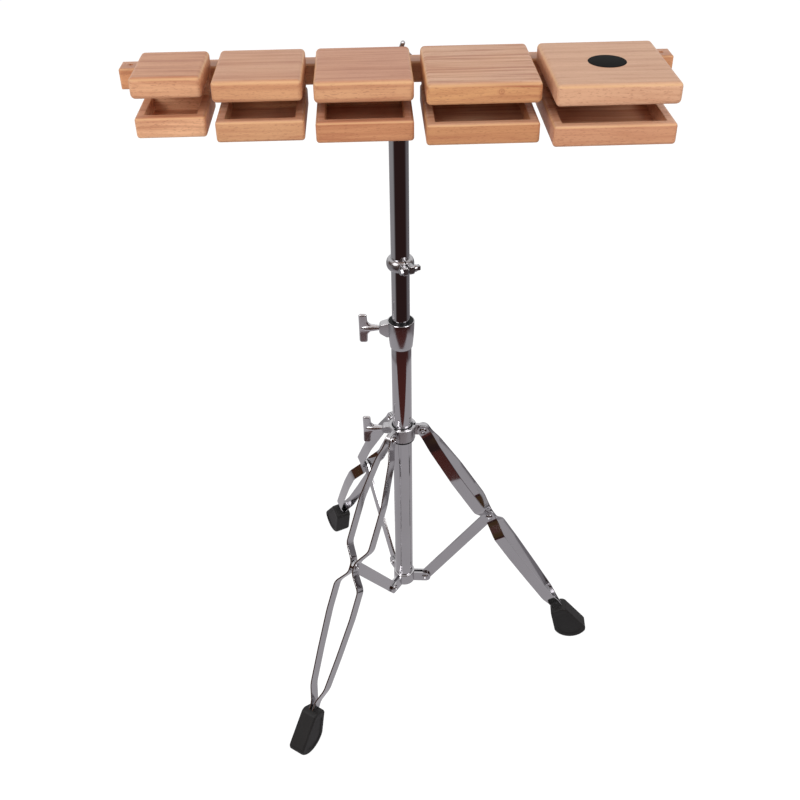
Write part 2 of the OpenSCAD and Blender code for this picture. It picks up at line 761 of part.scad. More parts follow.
// Sliding collar that carries the legs
module leg_collar() {
  top = collar_pivot_z + collar_over_pivot;
  color(chrome) placed() difference() {
    union() {
      translate([0, 0, top - collar_h]) rotate_extrude() polygon([
        [0, 0], [collar_r - chamfer - collar_foot_chamfer, 0], [collar_r - chamfer, collar_foot_chamfer],
        [collar_r - chamfer, collar_h - collar_rim_h - chamfer], [collar_r, collar_h - collar_rim_h],
        [collar_r, collar_h - chamfer], [collar_r - chamfer, collar_h], [0, collar_h]]);
      for (i = [0:leg_count - 1]) rotate([0, 0, leg_az(i)]) translate([0, ear_t / 2, 0]) rotate([90, 0, 0])
        linear_extrude(ear_t) {
          translate([collar_pivot_r, collar_pivot_z]) circle(ear_r);
          translate([collar_r / 2 + main_tube_d / 4, collar_pivot_z - ear_r])
            square([collar_pivot_r - collar_r / 2 - main_tube_d / 4, 2 * ear_r]);
        }
      at_collar_screw() screw_lug(0, 0);
    }
    translate([0, 0, top - collar_h - over])
      cylinder(h = collar_h + 2 * over, r = main_tube_d / 2 + run_fit + collar_bush_t);
    for (i = [0:leg_count - 1]) rotate([0, 0, leg_az(i)]) translate([collar_pivot_r, ear_t, collar_pivot_z])
      rotate([90, 0, 0]) cylinder(h = 2 * ear_t, d = pin_d);
    at_collar_screw() translate([0, 0, -boss_reach])
      cylinder(h = boss_reach + over, d = screw_d + 2 * run_fit);
  }
}

// Axis of the collar's wing screw, from the end of its lug outwards
module at_collar_screw() {
  translate([0, 0, collar_pivot_z]) rotate([0, 0, collar_screw_turn])
    rotate([0, 90, 0]) translate([0, 0, boss_reach]) children();
}

module collar_bush() {
  top = collar_pivot_z + collar_over_pivot;
  color(nylon) placed() difference() {
    translate([0, 0, top - collar_h]) cylinder(h = collar_h, r = main_tube_d / 2 + run_fit + collar_bush_t);
    translate([0, 0, top - collar_h - over])
      cylinder(h = collar_h + 2 * over, r = main_tube_d / 2 + run_fit);
    at_collar_screw() translate([0, 0, -boss_reach]) cylinder(h = boss_reach, d = screw_d + 2 * run_fit);
  }
}

module collar_wing_screw() {
  color(chrome) placed() at_collar_screw() lug_wing_screw(main_tube_d / 2 + run_fit);
}

// Rivet along Y with a head at each end of the given half grip
module headed_pin(half) {
  translate([0, half + pin_head_h, 0]) rotate([90, 0, 0]) {
    cylinder(h = pin_head_h, d1 = pin_head_d * 0.7, d2 = pin_head_d);
    cylinder(h = 2 * (half + pin_head_h), d = pin_d);
    translate([0, 0, 2 * half + pin_head_h])
      cylinder(h = pin_head_h, d1 = pin_head_d, d2 = pin_head_d * 0.7);
  }
}

module leg_pins() {
  color(chrome) for (i = [0:leg_count - 1]) at_leg(i) translate([collar_pivot_r, 0, collar_pivot_z])
    headed_pin(pinch_collar + strap_t / 2 + face_fit / 2);
}

// Frame of leg i's line: X runs down the leg from its upper pivot, Y across it
module along_leg(i) {
  at_leg(i) translate([collar_pivot_r, 0, collar_pivot_z]) rotate([0, 90 - leg_lean, 0]) children();
}

// One bowed strip of leg i, on the side s
module leg_strip(i, s) {
  line = bent_path(strap_line, strap_rounds);
  outer = beside(line, strap_t / 2);
  inner = beside(line, -strap_t / 2);
  wide = 2 * max(strap_bow, strap_low_bow);
  color(chrome) along_leg(i) difference() {
    intersection() {
      translate([0, 0, -strap_w / 2]) linear_extrude(strap_w)
        polygon([for (p = outer) [p[0], s * p[1]],
                 for (k = [len(inner) - 1:-1:0]) [inner[k][0], s * inner[k][1]]]);
      translate([0, wide, 0]) rotate([90, 0, 0]) linear_extrude(2 * wide) {
        circle(strap_w / 2);
        translate([0, -strap_w / 2]) square([leg_len + socket_deep, strap_w]);
      }
    }
    rotate([90, 0, 0]) translate([0, 0, -wide]) cylinder(h = 2 * wide, d = pin_d + 2 * run_fit);
    translate([upper_len, 0, 0]) rotate([90, 0, 0]) translate([0, 0, -wide])
      cylinder(h = 2 * wide, d = pin_d);
  }
}

// Rivet of a leg's middle pivot: a headed stub through each strip, stopping
// short of the brace between them
module leg_rivet(i) {
  color(chrome) along_leg(i) translate([upper_len, 0, 0]) difference() {
    headed_pin(pinch_brace + strap_t / 2);
    cube([2 * pin_d, 2 * (pinch_brace - strap_t / 2), 2 * pin_d], center = true);
  }
}

// Rubber foot of leg i, with a socket for the ends of both strips
module leg_foot(i) {
  sides = round_outline(foot_outline, foot_rounds);
  pad = [for (p = sides) foot_middle() + foot_pad_share * (p - foot_middle())];
  slot_half = pinch_foot + strap_t / 2;
  color(rubber) difference() {
    at_leg(i) translate([0, foot_w / 2, 0]) rotate([90, 0, 0]) linear_extrude(foot_w) polygon(sides);
    for (s = [-1, 1]) at_leg(i) translate([0, s * (foot_w / 2 - foot_pad_cut / 2) + foot_pad_cut, 0])
      rotate([90, 0, 0]) linear_extrude(2 * foot_pad_cut) polygon(pad);
    along_leg(i) translate([leg_len - foot_pinch, -slot_half, -strap_w / 2])
      cube([foot_pinch + socket_deep, 2 * slot_half, strap_w]);
  }
}

// Middle of a foot's outline
function foot_middle() = [for (k = [0, 1])
  sum_to([for (p = foot_outline) p[k]], len(foot_outline)) / len(foot_outline)];

module brace(i) {
  color(chrome) at_leg(i) translate([hub_pivot_r, brace_t / 2, hub_pivot_z]) rotate([90, 0, 0])
    linear_extrude(brace_t) rotate([0, 0, 90 - brace_lean]) difference() {
      union() {
        circle(brace_w / 2);
        translate([brace_len, 0]) circle(brace_w / 2);
        translate([0, -brace_w / 2]) square([brace_len, brace_w]);
      }
      circle(d = pin_d + 2 * run_fit);
      translate([brace_len, 0]) circle(d = pin_d + 2 * run_fit);
    }
}

// Hub at the main tube's foot, with a pair of ears for each brace
module base_hub() {
  low = hub_pivot_z + hub_over_pivot - hub_h;
  gap = brace_t / 2 + face_fit;
  color(chrome) placed() difference() {
    union() {
      translate([0, 0, low]) rotate_extrude() polygon([
        [0, 0], [hub_r - chamfer, 0], [hub_r, chamfer], [hub_r, hub_h - chamfer], [hub_r - chamfer, hub_h],
        [0, hub_h]]);
      for (i = [0:leg_count - 1], s = [-1, 1]) rotate([0, 0, leg_az(i)])
        translate([0, s * (gap + clevis_t / 2) + clevis_t / 2, 0]) rotate([90, 0, 0])
          linear_extrude(clevis_t) {
            translate([hub_pivot_r, hub_pivot_z]) circle(clevis_r);
            translate([main_tube_d / 2 + chamfer, hub_pivot_z - clevis_r])
              square([hub_pivot_r - main_tube_d / 2 - chamfer, 2 * clevis_r]);
          }
    }
    translate([0, 0, low + hub_floor]) cylinder(h = hub_h, r = main_tube_d / 2);
    translate([0, 0, low - over]) cylinder(h = hub_h, r = main_bore_r - hub_lip);
    for (i = [0:leg_count - 1]) rotate([0, 0, leg_az(i)]) translate([hub_pivot_r, hub_r, hub_pivot_z])
      rotate([90, 0, 0]) cylinder(h = 2 * hub_r, d = pin_d);
  }
}

// Plastic plug in the hub's lower opening
module hub_plug() {
  low = hub_pivot_z + hub_over_pivot - hub_h;
  color(nylon) placed() {
    translate([0, 0, low - hub_plug_h]) cylinder(h = hub_plug_h, r = main_bore_r);
    translate([0, 0, low - hub_plug_h]) cylinder(h = hub_plug_h + hub_floor, r = main_bore_r - hub_lip);
  }
}

module brace_pins() {
  color(chrome) for (i = [0:leg_count - 1]) at_leg(i) translate([hub_pivot_r, 0, hub_pivot_z])
    headed_pin(brace_t / 2 + face_fit + clevis_t);
}

block_lid(0);  // block_1_lid
block_lid(1);  // block_2_lid
block_lid(2);  // block_3_lid
block_lid(3);  // block_4_lid
block_lid(4);  // block_5_lid
block_neck(0);  // block_1_neck
block_neck(1);  // block_2_neck
block_neck(2);  // block_3_neck
block_neck(3);  // block_4_neck
block_neck(4);  // block_5_neck
block_tray(0);  // block_1_tray
block_tray(1);  // block_2_tray
block_tray(2);  // block_3_tray
block_tray(3);  // block_4_tray
block_tray(4);  // block_5_tray
badge();
rail();
rail_insert();
rail_screws();
tray_screws();
rail_bracket();
bracket_post();
post_ring();
rail_wing_bolt();
bolt_washer();
top_socket();
socket_thumb_screw();
upper_tube();
memory_lock();
memory_key_screw();
height_clamp();
clamp_bush();
clamp_wing_screw();
main_tube();
leg_collar();
collar_bush();
collar_wing_screw();
leg_pins();
leg_strip(0, 1);  // leg_1_strip_a
leg_strip(0, -1);  // leg_1_strip_b
leg_rivet(0);  // leg_1_rivet
leg_foot(0);  // leg_1_foot
leg_strip(1, 1);  // leg_2_strip_a
leg_strip(1, -1);  // leg_2_strip_b
leg_rivet(1);  // leg_2_rivet
leg_foot(1);  // leg_2_foot
leg_strip(2, 1);  // leg_3_strip_a
leg_strip(2, -1);  // leg_3_strip_b
leg_rivet(2);  // leg_3_rivet
leg_foot(2);  // leg_3_foot
brace(0);  // brace_1
brace(1);  // brace_2
brace(2);  // brace_3
base_hub();
hub_plug();
brace_pins();
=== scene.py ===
"""Five graduated wood blocks on a rail, with their folding stand: looks, light and camera."""

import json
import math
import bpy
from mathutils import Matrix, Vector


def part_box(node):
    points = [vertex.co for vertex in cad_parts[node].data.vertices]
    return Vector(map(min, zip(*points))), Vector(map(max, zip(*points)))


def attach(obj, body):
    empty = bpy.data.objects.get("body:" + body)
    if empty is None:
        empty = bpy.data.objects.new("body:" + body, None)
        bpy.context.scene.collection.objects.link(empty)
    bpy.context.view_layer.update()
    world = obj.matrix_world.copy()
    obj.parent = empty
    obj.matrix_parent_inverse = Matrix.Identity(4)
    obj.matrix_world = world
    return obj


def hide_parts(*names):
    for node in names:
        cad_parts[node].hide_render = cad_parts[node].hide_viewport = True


bl_info = {
    "name": "Wood Block Set",
    "version": (1, 0, 0),
    "blender": (4, 5, 0),
    "location": "View3D > Sidebar > Wood Blocks",
    "description": "Dresses a set of wood blocks on a folding stand",
    "category": "Add Mesh",
}

import bmesh
import bpy
from mathutils import Matrix, Vector

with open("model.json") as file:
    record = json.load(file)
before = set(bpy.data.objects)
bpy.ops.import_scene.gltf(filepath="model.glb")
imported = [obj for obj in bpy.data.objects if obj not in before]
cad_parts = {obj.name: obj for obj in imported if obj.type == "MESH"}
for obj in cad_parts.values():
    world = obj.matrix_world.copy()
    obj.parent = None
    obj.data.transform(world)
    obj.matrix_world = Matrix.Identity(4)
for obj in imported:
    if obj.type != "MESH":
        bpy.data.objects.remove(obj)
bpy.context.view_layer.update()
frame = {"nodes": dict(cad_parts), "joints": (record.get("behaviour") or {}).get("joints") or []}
MM = 0.001
# Points nearer than this are merged, and lengths nearer than this are the same, in metres
MERGE = 1e-6
TINY = 1e-7
# An edge whose faces turn by more than this, in radians, is a rim
SHARP = 1.2
LEGS = (1, 2, 3)
JOINTS = {j["name"]: j for j in frame["joints"]}

# Each block's wood: the lid's top, the lid's sides, the tray's sides, and how streaky it is. The top and side
# colours are partly the wood's own tone and partly painted light, each matched to how that face is lit.
WOODS = (
    ((0.650, 0.325, 0.184), (0.750, 0.402, 0.227), (0.820, 0.455, 0.262), 0.9),
    ((0.650, 0.350, 0.215), (0.665, 0.340, 0.176), (0.645, 0.335, 0.174), 0.9),
    ((0.612, 0.300, 0.183), (0.690, 0.363, 0.193), (0.645, 0.305, 0.148), 0.8),
    ((0.700, 0.410, 0.262), (0.680, 0.345, 0.156), (0.583, 0.272, 0.127), 1.2),
    ((0.700, 0.410, 0.258), (0.715, 0.402, 0.247), (0.625, 0.305, 0.172), 0.5),
)
# The knot on the front of one lid: its block, and how far in and down it lies, in millimetres
KNOT_BLOCK = 4
KNOT_IN = 70
KNOT_DOWN = 8.5
# Distances down a leg from its upper pivot, and how far a strip's middle lies from the leg's plane there,
# in millimetres
SWAY = ((-8, 3.9), (11, 3.9), (30, 10.2), (88, 17.4), (152, 17.4), (173, 2.9), (189, 2.9), (208.5, 18.6),
        (250, 18.6), (306, 15.2), (358, 11.0), (380, 2.6), (411, 2.6))
# How many slices a strip is cut in, so that it can bow
SLICES = 190
# Wings of the screws: thickness, rounding, and where their roots and necks lie along them, in millimetres
WING_THICK = 4.6
WING_RIM = 2.1
WING_ROOT = 5
WING_NECK = 9
# The clamps' wings: how deep they are, how far out they start, and the shank under them, in millimetres
WING_DEEP = 14.8
WING_LIFT = 10.26
WING_SHANK = 10
# Radius of the round end of a collar's or a hub's ear, in millimetres
EAR_R = 8
# Where the camera stands, in metres, and its yaw, pitch and roll, in degrees
CAMERA_AT = (-0.0340296, -1.0621863, 1.2158346)
CAMERA_TURNS = (-1.7106, 36.4565, -0.8394)


# Shader arithmetic

class Field:
    """A value that varies over a surface, with the operators that a finish needs."""

    def __init__(self, nodes, socket):
        self.nodes = nodes
        self.socket = socket

    def maths(self, operation, *values):
        """A Math node on values, which are fields or numbers."""
        return self.nodes.add("ShaderNodeMath", dict(enumerate(values)), operation=operation)

    def __add__(self, other):
        return self.maths("ADD", self, other)

    def __radd__(self, other):
        return self.maths("ADD", other, self)

    def __sub__(self, other):
        return self.maths("SUBTRACT", self, other)

    def __rsub__(self, other):
        return self.maths("SUBTRACT", other, self)

    def __mul__(self, other):
        return self.maths("MULTIPLY", self, other)

    def __rmul__(self, other):
        return self.maths("MULTIPLY", other, self)

    def between(self, low, high):
        """0 at low and 1 at high, smooth between them."""
        return self.nodes.add("ShaderNodeMapRange", {"Value": self, "From Min": low, "From Max": high},
                              interpolation_type="SMOOTHSTEP")


class Nodes:
    """A node tree in the making."""

    def __init__(self, tree):
        self.tree = tree
        self.tree.nodes.clear()

    def join(self, value, socket):
        """Links a field to a socket, or gives the socket a value."""
        if isinstance(value, Field):
            self.tree.links.new(value.socket, socket)
        else:
            socket.default_value = value

    def add(self, kind, inputs=None, output=0, **settings):
        """One node: its settings first, then the values or links of its sockets."""
        node = self.tree.nodes.new(kind)
        for name, value in settings.items():
            setattr(node, name, value)
        for name, value in (inputs or {}).items():
            self.join(value, node.inputs[name])
        return Field(self, node.outputs[output]) if node.outputs else None

    def seen(self):
        """1 for rays that show a surface, and 0 for those that it only lights."""
        camera, glossy, through = (self.add("ShaderNodeLightPath", output=f"Is {kind} Ray")
                                   for kind in ("Camera", "Glossy", "Transmission"))
        return camera.maths("MAXIMUM", camera, glossy.maths("MAXIMUM", glossy, through))


class Finish(Nodes):
    """A material in the making, with the shader that its nodes feed."""

    def __init__(self, name):
        self.material = bpy.data.materials.new(name)
        self.material.use_nodes = True
        super().__init__(self.material.node_tree)
        self.shader = self.tree.nodes.new("ShaderNodeBsdfPrincipled")
        self.output = self.tree.nodes.new("ShaderNodeOutputMaterial")
        self.tree.links.new(self.shader.outputs[0], self.output.inputs["Surface"])

    def set(self, **values):
        """Feeds the shader's sockets: base_color sets Base Color."""
        for name, value in values.items():
            self.join(value, self.shader.inputs[name.replace("_", " ").title()])

    def place(self, offset=(0, 0, 0)):
        """The piece's own coordinates, in metres, moved by an offset."""
        here = self.add("ShaderNodeTexCoord", output=3)
        return self.add("ShaderNodeMapping", {"Vector": here, "Location": offset})

    def noise(self, where, scale, detail=2.0, rough=0.5):
        """A random value from 0 to 1, with more patches to the metre where the scale is larger."""
        return self.add("ShaderNodeTexNoise", {
            "Vector": where, "Scale": scale, "Detail": detail, "Roughness": rough})

    def mix(self, share, first, second):
        """A colour between two others."""
        return self.add("ShaderNodeMix", {0: share, 6: first, 7: second}, output=2, data_type="RGBA")

    def bump(self, height, strength, distance):
        """Small unevenness, with its height as a field and its distance in metres."""
        self.set(normal=self.add("ShaderNodeBump", {
            "Height": height, "Strength": strength, "Distance": distance}))


def shade(colour, by):
    """A colour made lighter or darker, with its alpha."""
    return tuple(c * by for c in colour[:3]) + (1.0,)


# Finishes

def beech(name, seed, top, side, dark, streaks=1.0, knot=None):
    """Lacquered beech with its grain along X: its top face, its sides and its dark lines. The top and side
    colours hold painted light as well as the wood's own tone, and the rounded edges between them carry a
    painted highlight.
    """
    f = Finish(name)
    here = f.place()
    at = f.place(offset=(seed * 0.37, seed * 0.23, seed * 0.11))
    way = f.add("ShaderNodeSeparateXYZ", {0: f.add("ShaderNodeTexCoord", output=1)}, output=2)
    up = way.between(0.15, 0.95)
    arris = up * (1.0 - up) * 4.0
    sway = f.noise(at, 7.0, 1.0)
    waved = f.add("ShaderNodeVectorMath", {0: at, 1: f.add("ShaderNodeCombineXYZ", {
        "Y": (sway - 0.5) * 0.012, "Z": (sway - 0.5) * 0.010})}, operation="ADD")
    long = f.add("ShaderNodeVectorMath", {0: waved, 1: (0.035, 1.0, 1.0)}, operation="MULTIPLY")
    short = f.add("ShaderNodeVectorMath", {0: waved, 1: (0.22, 1.0, 1.0)}, operation="MULTIPLY")
    fine = f.noise(long, 420.0, 3.0, 0.6)
    broad = f.noise(long, 130.0, 2.0, 0.5)
    dashes = f.noise(short, 1100.0, 1.0, 0.5)
    cloud = f.noise(at, 14.0, 2.0)
    lines = (fine.between(0.42, 0.68) * 0.36 + broad.between(0.38, 0.68) * 0.60) * streaks
    flecks = dashes.between(0.56, 0.70) * (0.42 - up * 0.24)
    # Partly painted light: faces turned up take the top colour and the rest take the side colour, each
    # matched to how those faces are lit.
    body = f.mix(up, side, top)
    if knot:
        gap = f.add("ShaderNodeVectorMath", {0: here, 1: knot}, output=1, operation="DISTANCE")
        phase = gap * 2600.0 + fine * 3.0
        rings = phase.maths("SINE", phase)
        near = 1.0 - gap.between(0.0012, 0.0050)
        lines = lines + near * (0.45 + rings * 0.25)
    grain = f.mix(lines, body, dark)
    flecked = f.mix(flecks, grain, shade(dark, 0.80))
    # Painted highlight: the rounded edges between the top and the sides are lightened towards pale yellow, in
    # place of the shine along them.
    arris_highlight = f.mix(arris * 0.55, flecked, (0.80, 0.49, 0.240, 1.0))
    warm = f.mix(cloud.between(0.35, 0.75) * 0.22, arris_highlight, shade(side, 1.12))
    f.set(base_color=warm, roughness=0.38 + fine * 0.10 + flecks * 0.15)
    f.shader.inputs["Coat Weight"].default_value = 0.06
    f.shader.inputs["Coat Roughness"].default_value = 0.25
    f.shader.inputs["Specular IOR Level"].default_value = 0.24
    f.bump(fine * 0.4 + dashes * 0.6, 0.10, 0.0003)
    return f.material


def chrome(name, tint, gloss):
    """Bright plate with faint wiping marks."""
    f = Finish(name)
    at = f.place()
    wipe = f.noise(f.add("ShaderNodeVectorMath", {0: at, 1: (1.0, 1.0, 0.15)}, operation="MULTIPLY"),
                   90.0, 3.0, 0.6)
    haze = f.noise(at, 22.0, 2.0)
    f.set(base_color=f.mix(haze.between(0.3, 0.8) * 0.35, shade(tint, 1.0), shade(tint, 0.86)),
          metallic=1.0, roughness=gloss + wipe.between(0.5, 0.8) * 0.07)
    f.bump(wipe, 0.01, 0.0003)
    return f.material


def moulded(name, colour, rough, grain=900.0, bump=0.25, shine=0.5):
    """Moulded rubber or plastic with a fine skin."""
    f = Finish(name)
    at = f.place()
    skin = f.noise(at, grain, 2.0)
    wear = f.noise(at, 35.0, 3.0, 0.6)
    f.set(base_color=f.mix(wear.between(0.45, 0.8) * 0.6, shade(colour, 1.0), shade(colour, 1.5)),
          roughness=rough + wear * 0.12)
    f.shader.inputs["Specular IOR Level"].default_value = shine
    f.bump(skin, bump, 0.0002)
    return f.material


def turned(name, tint, gloss):
    """Small turned metal with faint marks."""
    f = Finish(name)
    at = f.place()
    marks = f.noise(at, 600.0, 2.0)
    f.set(base_color=f.mix(marks.between(0.4, 0.7) * 0.4, shade(tint, 1.0), shade(tint, 0.75)),
          metallic=1.0, roughness=gloss + marks * 0.12)
    return f.material


# Making meshes

def corners(node):
    """The low and the high corner of a CAD node's box, in metres."""
    return tuple(Vector(c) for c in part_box(node))


def piece(name, bm, material, body, slot, *nodes, smooth=40):
    """Turns a bmesh into a piece that rides on its body and stands for CAD nodes."""
    bmesh.ops.recalc_face_normals(bm, faces=bm.faces[:])
    mesh = bpy.data.meshes.new(name)
    bm.to_mesh(mesh)
    bm.free()
    mesh.shade_smooth()
    mesh.set_sharp_from_angle(angle=math.radians(smooth))
    mesh.materials.append(material)
    obj = bpy.data.objects.new(name, mesh)
    bpy.context.scene.collection.objects.link(obj)
    obj.modifiers.new("Even normals", "WEIGHTED_NORMAL").keep_sharp = True
    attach(obj, body)
    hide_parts(*nodes)


def dress(material, *nodes):
    """Gives CAD nodes a finish."""
    for node in nodes:
        slots = frame["nodes"][node].data.materials
        slots.clear()
        slots.append(material)


def board(low, high):
    """A bmesh cube that fills a box."""
    bm = bmesh.new()
    bmesh.ops.create_cube(bm, size=1.0)
    low, high = Vector(low), Vector(high)
    bmesh.ops.scale(bm, vec=high - low, verts=bm.verts)
    bmesh.ops.translate(bm, vec=(low + high) / 2, verts=bm.verts)
    return bm


def round_edges(bm, edges, radius, segments):
    """Rounds edges to a radius in metres."""
    bmesh.ops.bevel(bm, geom=edges, offset=radius, offset_type="OFFSET", affect="EDGES",
                    segments=segments, profile=0.5, clamp_overlap=True, material=-1)


def sharp(bm):
    """The edges of a bmesh that are rims."""
    return [e for e in bm.edges if e.calc_face_angle(0) > SHARP]


def facing(at, ahead, across):
    """The matrix that sets a part's Z along one direction and its X along another."""
    ahead, across = Vector(ahead).normalized(), Vector(across).normalized()
    return Matrix.Translation(at) @ Matrix((across, ahead.cross(across), ahead)).transposed().to_4x4()


def cut(bm, along):
    """Cuts a bmesh across X at a distance in metres, and keeps both sides."""
    bmesh.ops.bisect_plane(bm, geom=bm.verts[:] + bm.edges[:] + bm.faces[:], dist=TINY,
                           plane_co=(along, 0, 0), plane_no=(1, 0, 0))


def turned_part(profile, steps=48, angle=360.0, start=0.0):
    """A profile of (radius, height) pairs in millimetres, spun about Z."""
    bm = bmesh.new()
    verts = [bm.verts.new((r * MM, 0, z * MM)) for r, z in profile]
    ends = verts[:-1] if profile[0][0] == 0 else verts
    edges = [bm.edges.new((v, verts[(k + 1) % len(verts)])) for k, v in enumerate(ends)]
    bmesh.ops.rotate(bm, cent=(0, 0, 0), matrix=Matrix.Rotation(math.radians(start), 3, "Z"),
                     verts=verts)
    bmesh.ops.spin(bm, geom=verts + edges, cent=(0, 0, 0), axis=(0, 0, 1), angle=math.radians(angle),
                   steps=steps, use_merge=angle == 360.0)
    bmesh.ops.remove_doubles(bm, verts=bm.verts, dist=MERGE)
    bmesh.ops.holes_fill(bm, edges=[e for e in bm.edges if e.is_boundary])
    return bm


def plate(outline, rounds, thick, rim, steps=3):
    """A plate in the XZ plane, in millimetres, with its corners and its rims rounded."""
    bm = bmesh.new()
    points = [bm.verts.new((x * MM, -thick / 2 * MM, z * MM)) for x, z in outline]
    bm.faces.new(points)
    for k, (point, radius) in enumerate(zip(points, rounds)):
        if not radius:
            continue
        here = Vector(outline[k])
        a, b = (Vector(outline[j % len(outline)]) - here for j in (k - 1, k + 1))
        back = min(radius / math.tan(a.angle(b) / 2), 0.47 * a.length, 0.47 * b.length)
        bmesh.ops.bevel(bm, geom=[point], offset=back * MM, offset_type="OFFSET", affect="VERTICES",
                        segments=6, profile=0.5, material=-1)
    made = bmesh.ops.extrude_face_region(bm, geom=bm.faces[:])["geom"]
    bmesh.ops.translate(bm, vec=(0, thick * MM, 0),
                        verts=[v for v in made if isinstance(v, bmesh.types.BMVert)])
    bmesh.ops.recalc_face_normals(bm, faces=bm.faces[:])
    rims = [e for e in bm.edges if abs(e.verts[0].co.y - e.verts[1].co.y) < TINY]
    round_edges(bm, rims, rim * MM, steps)
    return bm


def gather(*parts):
    """Joins bmeshes in one, each moved by its own matrix."""
    whole = bmesh.new()
    for bm, where in parts:
        bmesh.ops.transform(bm, matrix=where, verts=bm.verts)
        mesh = bpy.data.meshes.new("part")
        bm.to_mesh(mesh)
        bm.free()
        whole.from_mesh(mesh)
        bpy.data.meshes.remove(mesh)
    return whole


def bent(points, s, soft=5.0):
    """How high a line through points lies at s, and its slope there, with its corners eased."""
    rise = [(b[1] - a[1]) / (b[0] - a[0]) for a, b in zip(points, points[1:])]
    value, slant = points[0][1] + rise[0] * (s - points[0][0]), rise[0]
    for (x, _), before, after in zip(points[1:], rise, rise[1:]):
        t = min(1.0, max(0.0, (s - x + soft) / (2 * soft)))
        slant += (after - before) * t
        value += (after - before) * (soft * t * t if t < 1 else s - x)
    return value, slant


# Settings

class BlockSettings(bpy.types.PropertyGroup):
    lid_round: bpy.props.FloatProperty(
        name="Lid rounding", description="Radius of a lid's edges", default=0.0046, unit="LENGTH")
    tray_round: bpy.props.FloatProperty(
        name="Tray rounding", description="Radius of a tray's edges", default=0.0032, unit="LENGTH")
    rim_round: bpy.props.FloatProperty(
        name="Rim rounding", description="Radius of a chamber's rim", default=0.0007, unit="LENGTH")
    side_wall: bpy.props.FloatProperty(
        name="Side wall", description="Thickness of a tray's side and front walls", default=0.009,
        unit="LENGTH")
    rear_wall: bpy.props.FloatProperty(
        name="Rear wall", description="Thickness of a tray's rear wall", default=0.020, unit="LENGTH")
    floor: bpy.props.FloatProperty(
        name="Tray floor", description="Thickness of a tray's floor", default=0.006, unit="LENGTH")
    # The rail's top and side colours hold painted light as well as the wood's own tone, as the lids' colours
    # do.
    top: bpy.props.FloatVectorProperty(
        name="Top wood", description="Colour of the rail's beech on top", subtype="COLOR",
        default=(0.650, 0.335, 0.205))
    side: bpy.props.FloatVectorProperty(
        name="Side wood", description="Colour of the rail's beech on its sides", subtype="COLOR",
        default=(0.730, 0.355, 0.180))
    dark: bpy.props.FloatVectorProperty(
        name="Dark wood", description="Colour of the beech's lines", subtype="COLOR",
        default=(0.420, 0.145, 0.072))


class StandSettings(bpy.types.PropertyGroup):
    plate: bpy.props.FloatVectorProperty(
        name="Plate", description="Colour of the chrome plate", subtype="COLOR",
        default=(0.500, 0.490, 0.505))
    rubber: bpy.props.FloatVectorProperty(
        name="Rubber", description="Colour of the feet", subtype="COLOR", default=(0.011, 0.010, 0.010))
    strip_width: bpy.props.FloatProperty(
        name="Strip width", description="Width of a leg's strips", default=0.016, unit="LENGTH")
    strip_thick: bpy.props.FloatProperty(
        name="Strip thickness", description="Thickness of a leg's strips", default=0.002, unit="LENGTH")
    wing_span: bpy.props.FloatProperty(
        name="Wing span", description="Length of the screws' wings from tip to tip", default=0.043,
        unit="LENGTH")
    wing_turn: bpy.props.FloatProperty(
        name="Wing turn", description="Turn of the clamps' wings from upright", default=math.radians(9),
        unit="ROTATION")
    clamp_bend: bpy.props.FloatProperty(
        name="Clamp wing bend", description="Bend of the height clamp's lower wing",
        default=math.radians(7), unit="ROTATION")
    collar_bend: bpy.props.FloatProperty(
        name="Collar wing bend", description="Bend of the collar's lower wing", default=math.radians(18),
        unit="ROTATION")


class StageSettings(bpy.types.PropertyGroup):
    lens: bpy.props.FloatProperty(
        name="Lens", description="Focal length on a 36 mm sensor", default=45.192, unit="CAMERA")
    left: bpy.props.FloatProperty(
        name="Left lamp", description="Power of the lamp at the front left", default=32.0, unit="POWER")
    right: bpy.props.FloatProperty(
        name="Right lamp", description="Power of the lamp at the front right", default=24.0, unit="POWER")
    lamp_size: bpy.props.FloatProperty(
        name="Lamp size", description="Side of each square lamp", default=1.2, unit="LENGTH")
    sky: bpy.props.FloatProperty(
        name="Room light", description="Strength of the light from all round", default=0.42)


# Pieces

